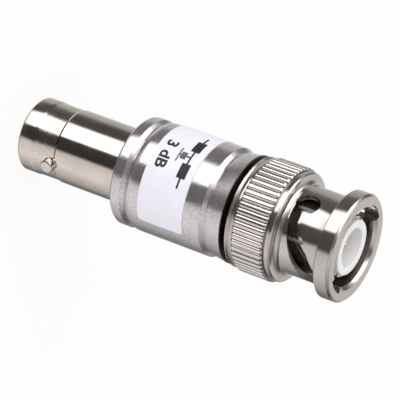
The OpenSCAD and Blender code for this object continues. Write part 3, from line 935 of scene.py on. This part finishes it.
def nut_section(edge):
    """The nut's half section, from its rear around the outside and back through the bore."""
    low, high = NUT_LOW, NUT_HIGH
    rim = KNURL_R - 0.23
    land = rim - 0.02
    notch, ring = KNURL_R - 0.43, KNURL_R - 0.33
    shoulder = low + 6.25
    bevel, fillet, steps = 0.18, 0.9, 10
    flange, rear = 6.88, high - 2.05
    back_bevel, chamfer, mouth = 0.13, 0.28, 0.4
    pocket_r, pocket_low, pocket_high = 6.05, low + 0.6, GASKET_LOW + CLEAR
    lip = [
        (REAR_BORE_R, low, edge, 0), (rim - 0.12, low, 0.06, 0), (rim, low + 0.1, 0.05, 0),
        (rim, low + 0.18, 0.04, 0), (rim - 0.18, low + 0.4, 0.03, 0), (rim - 0.09, low + 0.6, 0.08, 0),
        (land, low + 0.84, 0.1, 0), (land, KNURL_LOW, edge, 0)]
    knurl = [
        (KNURL_R - 0.12, KNURL_LOW, 0.05, 1), (KNURL_R, KNURL_LOW + 0.16, 0.1, 1),
        (KNURL_R, KNURL_HIGH - 0.24, 0.12, 1), (KNURL_R - 0.18, KNURL_HIGH, 0.05, 0.4)]
    band = [
        (notch, KNURL_HIGH, edge, 0), (notch, KNURL_HIGH + 0.12, edge, 0),
        (ring, KNURL_HIGH + 0.18, 0.05, 0), (ring, shoulder - bevel, 0.06, 0),
        (ring - bevel, shoulder, 0.08, 0)]
    turns = [math.radians(270 - 90 * step / steps) for step in range(steps + 1)]
    hollow = plain([
        (NUT_NECK_R + fillet * (1 + math.cos(turn)), shoulder + fillet * (1 + math.sin(turn)))
        for turn in turns])
    front = [
        (NUT_NECK_R, rear, edge, 0), (flange - back_bevel, rear, 0.03, 0),
        (flange, rear + back_bevel, 0.03, 0), (flange, high - chamfer, 0.12, 0),
        (flange - chamfer, high, 0.1, 0)]
    bore = [
        (NUT_BORE_R + mouth, high, edge, 0), (NUT_BORE_R, high - mouth, edge, 0),
        (NUT_BORE_R, pocket_high, 0, 0), (pocket_r, pocket_high, 0, 0), (pocket_r, pocket_low, 0, 0),
        (REAR_BORE_R, pocket_low, edge, 0)]
    return lip + knurl + band + hollow + front + bore


def nut_blank(nut):
    """The turned nut with its knurl, before the cams are cut."""
    depth = nut.flute_depth / MM
    half = (0, 0.1, 0.2, 0.3, 0.38, 0.44)
    offsets = [-0.5] + [-offset for offset in reversed(half[1:])] + list(half)
    pitch = 360 / nut.flutes
    angles = [(i + offset) * pitch for i in range(nut.flutes) for offset in offsets]

    def fluted(radius, tag, angle):
        offset = angle / pitch - round(angle / pitch)
        return radius - depth * tag * abs(2 * offset) ** 3.6

    section = rounded(nut_section(nut.edge / MM), steps=3)
    return new_piece("nut_shell", lathe(section, angles, fluted))


def cam_ramp(start):
    """The groove that a lug runs in, and the window that it opens in the neck."""
    width = 2.255
    groove_r = SKIN_R - 0.02
    window_r = CAM_R - 0.05
    window_inner_r = CAM_INNER_R - 0.1
    window_low = NUT_HIGH - 7.2
    window_lead, window_curve = 0.0156, 0.000183
    flare = 0.08
    hair = 0.001
    count = 60
    end = PEAK_SWEEP + RAMP_SWEEP + ENTRY_SWEEP
    groove = []
    window = []
    for i in range(count + 1):
        angle = start + end * i / count
        run = max(0.0, end * i / count - PEAK_SWEEP)
        top = CAM_PEAK + run * RAMP_RISE / RAMP_SWEEP
        back = CAM_PEAK - width + run * BACK_RISE / RAMP_SWEEP
        edge = window_low + window_lead * run + window_curve * run ** 2
        groove.append((angle, (
            (CAM_INNER_R, back), (groove_r, back), (groove_r, top), (CAM_INNER_R, top))))
        window.append((angle, (
            (window_inner_r, edge), (SKIN_R, edge), (window_r, edge - flare),
            (window_r, top + flare), (SKIN_R, top + hair), (window_inner_r, top + hair))))
    return new_piece("groove", swept(groove)), new_piece("window", swept(window))


def locking_hole(angle):
    """The round hole that a lug locks in, a little wider at the surface."""
    radius = 1.43
    profile = (
        (0, CAM_INNER_R), (radius, CAM_INNER_R), (radius, SKIN_R - 0.2), (radius + 0.05, SKIN_R),
        (radius + 0.17, CAM_R), (0, CAM_R))
    hole = turned_piece("hole", plain(profile), 72)
    hole.data.transform(outward(angle, CAM_PEAK + 0.1))
    return hole


def entry_notch(start):
    """The notch in the flange's bore through which a lug enters."""
    floor = CAM_PEAK + RAMP_RISE - 0.1
    top = NUT_HIGH + 1
    inner_r, outer_r = CAM_INNER_R - 0.2, CAM_R + 0.02
    corners = ((inner_r, floor), (outer_r, floor), (outer_r, top), (inner_r, top))
    count = 24
    slices = [(start + ENTRY_SWEEP * i / count, corners) for i in range(count + 1)]
    return new_piece("notch", swept(slices))


def cam_tool(turn):
    """The cutter for one cam: locking hole, groove in the bore, window in the neck and entry notch."""
    start = LOCK_ANGLE + turn
    groove, window = cam_ramp(start)
    notch = entry_notch(start + PEAK_SWEEP + RAMP_SWEEP)
    return combine(groove, [window, locking_hole(start), notch], "UNION")


def knurl_finish(nut):
    """Nickel with darker, duller grooves between the ridges; the darker colour is painted shade."""
    metal = settings().metal
    colour = shade(metal.nut_nickel, 1.34)
    gloss = metal.nickel_gloss * 1.3
    finish = turned_metal("nut_knurl", colour, gloss, ring_depth=1, grain=2, metal=0.94)
    tree = finish.node_tree
    shader = next(node for node in tree.nodes if node.type == "BSDF_PRINCIPLED")
    plated = shader.inputs["Base Color"].links[0].from_socket
    place = add(tree, "TexCoord").outputs["Object"]
    flat = add(tree, "VectorMath", {0: place, 1: (1, 1, 0)}, operation="MULTIPLY").outputs["Vector"]
    radius = add(tree, "VectorMath", {0: flat}, operation="LENGTH").outputs["Value"]
    crest, depth = KNURL_R * MM, nut.flute_depth
    # Painted shade: the colour darkens towards the bottom of each groove.
    old_mesh_and_groove_shade = ranged(tree, radius, 0.3, 1.0, crest - depth, crest - depth * 0.4)
    tone = add(tree, "Mix", {"Factor": 1.0}, data_type="RGBA", blend_type="MULTIPLY")
    colours = [socket for socket in tone.inputs if socket.type == "RGBA"]
    result = next(socket for socket in tone.outputs if socket.type == "RGBA")
    tree.links.new(plated, colours[0])
    tree.links.new(old_mesh_and_groove_shade, colours[1])
    tree.links.new(result, shader.inputs["Base Color"])
    return finish


def dress_nut(shell, nut):
    """Gives the knurl and the cut recesses their own finishes, with painted shade in the knurl's grooves
    and inside the recesses.
    """
    low, high, root = KNURL_LOW, KNURL_HIGH + 0.02, 6.85
    inside, front = 5.6, NUT_HIGH - 2.0
    refinish(shell, knurl_finish(nut), lambda radius, z, face: low < z < high and radius > root)
    # Painted shade: faces within the neck's radius, short of the nut's front end, take the dark finish.
    refinish(shell, recess_shade_nickel(), lambda radius, z, face: z < front and radius < inside)


def spring_wave():
    """The wavy spring ring."""
    low, high = heights("wave_washer")
    inner_r, outer_r = REAR_BORE_R, reach("wave_washer")
    waves, strip = 3, 0.18
    swing = (high - low - strip) / 2
    slices = []
    for angle in ring_of(144):
        under = low + swing * (1 + math.sin(math.radians(angle * waves)))
        over = under + strip
        slices.append((angle, ((inner_r, under), (outer_r, under), (outer_r, over), (inner_r, over))))
    return new_piece("spring_washer", swept(slices, ring=True))


def thrust_ring():
    """The flat washer between the spring and the nut's rear wall."""
    low, high = heights("thrust_washer")
    inner_r, outer_r = REAR_BORE_R, reach("thrust_washer")
    section = plain([(inner_r, low), (outer_r, low), (outer_r, high), (inner_r, high)], EDGE)
    return turned_piece("thrust_ring", section, 160)


class ATTENUATOR_OT_nut(bpy.types.Operator):
    """Builds the knurled bayonet nut with its cam slots, and the spring behind it"""

    bl_idname = "attenuator.nut"
    bl_label = "Coupling nut"

    def execute(self, context):
        nut = settings().nut
        shell = combine(nut_blank(nut), [cam_tool(0), cam_tool(180)], "DIFFERENCE")
        drop_slivers(shell, shortest=0.004)
        settle(shell, nut_nickel(), "nut", ["coupling_nut"])
        dress_nut(shell, nut)
        steel = spring_steel()
        wave = settle(spring_wave(), steel, "body", ["wave_washer"])
        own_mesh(wave)
        settle(thrust_ring(), steel, "washer", ["thrust_washer"])
        return {"FINISHED"}


# The pieces inside the housing keep their CAD solids
class ATTENUATOR_OT_element(bpy.types.Operator):
    """Gives the resistor element and the beads inside the housing their finishes"""

    bl_idname = "attenuator.element"
    bl_label = "Resistor element"

    def execute(self, context):
        inside = settings().insulator
        film = matt("resistor_film", inside.film_resistor, rough=0.55, grain=3)
        ceramic = matt("resistor_ceramic", inside.ceramic, rough=0.6, grain=3)
        groups = (
            (white_insulator(), ("jack_bead", "plug_bead")),
            (gold(), ("input_contact_sleeve", "output_contact_sleeve", "centre_hub")),
            (film, ("input_resistor", "output_resistor")),
            (ceramic, ("shunt_disc",)),
            (brass(), ("input_ground_sleeve", "output_ground_sleeve", "disc_ring")))
        for finish, nodes in groups:
            for node in nodes:
                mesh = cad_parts[node].data
                mesh.materials.clear()
                mesh.materials.append(finish)
        return {"FINISHED"}


# The studio's panels and dark cards: azimuth in degrees and brightness, for four heights of the sky
FOOT_PANELS = (
    (-180, 0.3), (-170, 0.1), (-150, 0.08), (-140, 0.2), (-128, 0.46), (-116, 0.56), (-106, 0.28),
    (-96, 0.1), (-68, 0.06), (-57, 0.6), (-40, 0.8), (-15, 0.88), (10, 0.66), (40, 0.38), (60, 0.2),
    (78, 0.3), (105, 0.62), (140, 0.75), (165, 0.62), (180, 0.3))
LOW_PANELS = (
    (-180, 0.08), (-158, 0.09), (-147, 2.3), (-109, 2.3), (-103, 0.05), (-66, 0.04), (-57, 0.72),
    (-40, 0.85), (-15, 0.92), (10, 0.68), (34, 0.44), (50, 0.22), (66, 0.18), (84, 0.4), (104, 0.74),
    (120, 0.58), (148, 0.47), (163, 0.14), (180, 0.08))
MID_PANELS = (
    (-180, 0.5), (-172, 1.4), (-130, 1.4), (-116, 0.5), (-102, 0.1), (-75, 0.05), (-60, 0.35),
    (-40, 0.4), (-15, 0.2), (5, 0.08), (45, 0.08), (65, 0.5), (90, 0.77), (110, 0.7), (125, 0.15),
    (142, 0.2), (150, 0.6), (158, 0.6), (168, 0.1), (176, 0.1), (180, 0.5))
HIGH_PANELS = (
    (-180, 2.4), (-135, 2.0), (-112, 0.45), (-95, 0.2), (-72, 0.15), (-50, 0.6), (-20, 0.8), (10, 0.55),
    (40, 0.2), (65, 0.5), (90, 0.77), (115, 0.7), (140, 0.35), (152, 0.7), (162, 2.0), (180, 2.4))

# The rows of panels above the lowest one, each with the heights between which it fades in
UPPER_ROWS = ((LOW_PANELS, -0.66, -0.5), (MID_PANELS, -0.15, 0.1), (HIGH_PANELS, 0.3, 0.55))


def panel_row(tree, azimuth, stops):
    """Brightness of one row of panels by azimuth."""
    ramp = add(tree, "ValToRGB", {"Fac": azimuth})
    marks = ramp.color_ramp.elements
    top = max(value for angle, value in stops)
    while len(marks) < len(stops):
        marks.new(1.0)
    for mark, (angle, value) in zip(marks, stops):
        mark.position = (angle + 180) / 360
        mark.color = (value / top, value / top, value / top, 1)
    return calculated(tree, "MULTIPLY", ramp.outputs["Color"], top)


def mirrored(tree):
    """Brightness that the metal mirrors from each direction, dim from straight below."""
    place = add(tree, "TexCoord").outputs["Generated"]
    parts = add(tree, "SeparateXYZ", {"Vector": place}).outputs
    turn = calculated(tree, "ARCTAN2", parts["Y"], parts["X"])
    azimuth = ranged(tree, turn, 0, 1, -math.pi, math.pi)
    tone = panel_row(tree, azimuth, FOOT_PANELS)
    for stops, start, end in UPPER_ROWS:
        share = ranged(tree, parts["Z"], 0, 1, start, end, "SMOOTHSTEP")
        rows = {"Factor": share, "A": tone, "B": panel_row(tree, azimuth, stops)}
        tone = add(tree, "Mix", rows).outputs["Result"]
    dim = ranged(tree, parts["Z"], 0.1, 1, -0.97, -0.78, "SMOOTHSTEP")
    return calculated(tree, "MULTIPLY", tone, dim)


def studio_light(scene, stage):
    """White to the camera, soft panels and dark cards to the metal, even light to the rest."""
    world = bpy.data.worlds.new("studio")
    scene.world = world
    world.use_nodes = True
    world.cycles.sampling_method = "NONE"
    tree = world.node_tree
    tree.nodes.clear()
    even = add(tree, "Background", {"Color": (0.98, 0.97, 1, 1), "Strength": stage.fill})
    panels = add(tree, "Background", {"Color": (1, 1, 1, 1), "Strength": mirrored(tree)})
    white = add(tree, "Background", {"Color": (1, 1, 1, 1)})
    path = add(tree, "LightPath").outputs
    lit = mixed(tree, path["Is Glossy Ray"], even, panels)
    seen = calculated(tree, "MAXIMUM", path["Is Camera Ray"], path["Is Transmission Ray"])
    add(tree, "OutputWorld", {"Surface": mixed(tree, seen, lit, white).outputs[0]})


def pale_floor():
    """Almost white to the camera, with a soft shadow."""
    glow_share = 0.88
    finish, tree = new_finish("pale_floor")
    diffuse = add(tree, "BsdfDiffuse", {"Color": (0.99, 0.99, 0.99, 1)})
    glow = add(tree, "Emission")
    seen = add(tree, "LightPath").outputs["Is Camera Ray"]
    share = calculated(tree, "MULTIPLY", seen, glow_share)
    add(tree, "OutputMaterial", {"Surface": mixed(tree, share, diffuse, glow).outputs[0]})
    return finish


def wide_floor():
    """A wide round floor just under the part, in metres."""
    bm = bmesh.new()
    bmesh.ops.create_circle(bm, cap_ends=True, segments=96, radius=3.0)
    floor = new_piece("floor", bm)
    floor.data.materials.append(pale_floor())
    floor.location.z = -0.00005
    floor.visible_glossy = False


def photo_camera(scene, stage):
    """The photograph's viewpoint, from the front and above, rolled so that the part lies across it."""
    place = Vector((0, -0.2764371, 0.1579173))
    yaw, pitch, roll = 0.0033, -0.4491, 1.9226
    aim = Matrix.Rotation(-yaw, 4, "Z") @ Matrix.Rotation(math.pi / 2 + pitch, 4, "X")
    data = bpy.data.cameras.new("camera")
    data.sensor_width = SENSOR_WIDTH
    data.lens = stage.lens
    data.clip_start = 0.01
    data.clip_end = 20
    camera = bpy.data.objects.new("camera", data)
    scene.collection.objects.link(camera)
    camera.matrix_world = Matrix.Translation(place) @ aim @ Matrix.Rotation(roll, 4, "Z")
    scene.camera = camera


def key_light(scene, stage):
    """A large soft key light on the label's side."""
    place = Vector((-0.28, -0.3, 0.22))
    target = Vector((0, 0, 0.023))
    data = bpy.data.lights.new("key", "AREA")
    data.shape = "DISK"
    data.size = 0.35
    data.energy = stage.key
    lamp = bpy.data.objects.new("key", data)
    scene.collection.objects.link(lamp)
    turn = (target - place).to_track_quat("-Z", "Y").to_matrix().to_4x4()
    lamp.matrix_world = Matrix.Translation(place) @ turn
    lamp.visible_glossy = False
    lamp.visible_camera = False


class ATTENUATOR_OT_stage(bpy.types.Operator):
    """Builds the floor, the studio light and the camera"""

    bl_idname = "attenuator.stage"
    bl_label = "Stage"

    def execute(self, context):
        scene = context.scene
        stage = settings().stage
        scene.view_settings.view_transform = "Standard"
        studio_light(scene, stage)
        wide_floor()
        key_light(scene, stage)
        photo_camera(scene, stage)
        return {"FINISHED"}


class ATTENUATOR_PT_panel(bpy.types.Panel):
    """Lists the steps that build the attenuator"""

    bl_label = "Attenuator"
    bl_idname = "ATTENUATOR_PT_panel"
    bl_space_type = "VIEW_3D"
    bl_region_type = "UI"
    bl_category = "Attenuator"

    def draw(self, context):
        parts = context.scene.attenuator
        for group in (parts.metal, parts.label, parts.nut, parts.insulator, parts.stage):
            box = self.layout.box()
            for name in group.__annotations__:
                box.prop(group, name)
        for step in STEPS:
            self.layout.operator(step.bl_idname)


STEPS = (
    ATTENUATOR_OT_housing, ATTENUATOR_OT_label, ATTENUATOR_OT_jack, ATTENUATOR_OT_plug, ATTENUATOR_OT_nut,
    ATTENUATOR_OT_element, ATTENUATOR_OT_stage)
CLASSES = (
    MetalSettings, LabelSettings, NutSettings, InsulatorSettings, StageSettings, AttenuatorSettings,
    *STEPS, ATTENUATOR_PT_panel)


def register():
    for item in CLASSES:
        bpy.utils.register_class(item)
    bpy.types.Scene.attenuator = bpy.props.PointerProperty(type=AttenuatorSettings)


def unregister():
    del bpy.types.Scene.attenuator
    for item in reversed(CLASSES):
        bpy.utils.unregister_class(item)


def main():
    register()
    bpy.ops.attenuator.housing()
    bpy.ops.attenuator.label()
    bpy.ops.attenuator.jack()
    bpy.ops.attenuator.plug()
    bpy.ops.attenuator.nut()
    bpy.ops.attenuator.element()
    bpy.ops.attenuator.stage()


if __name__ == "__main__":
    main()
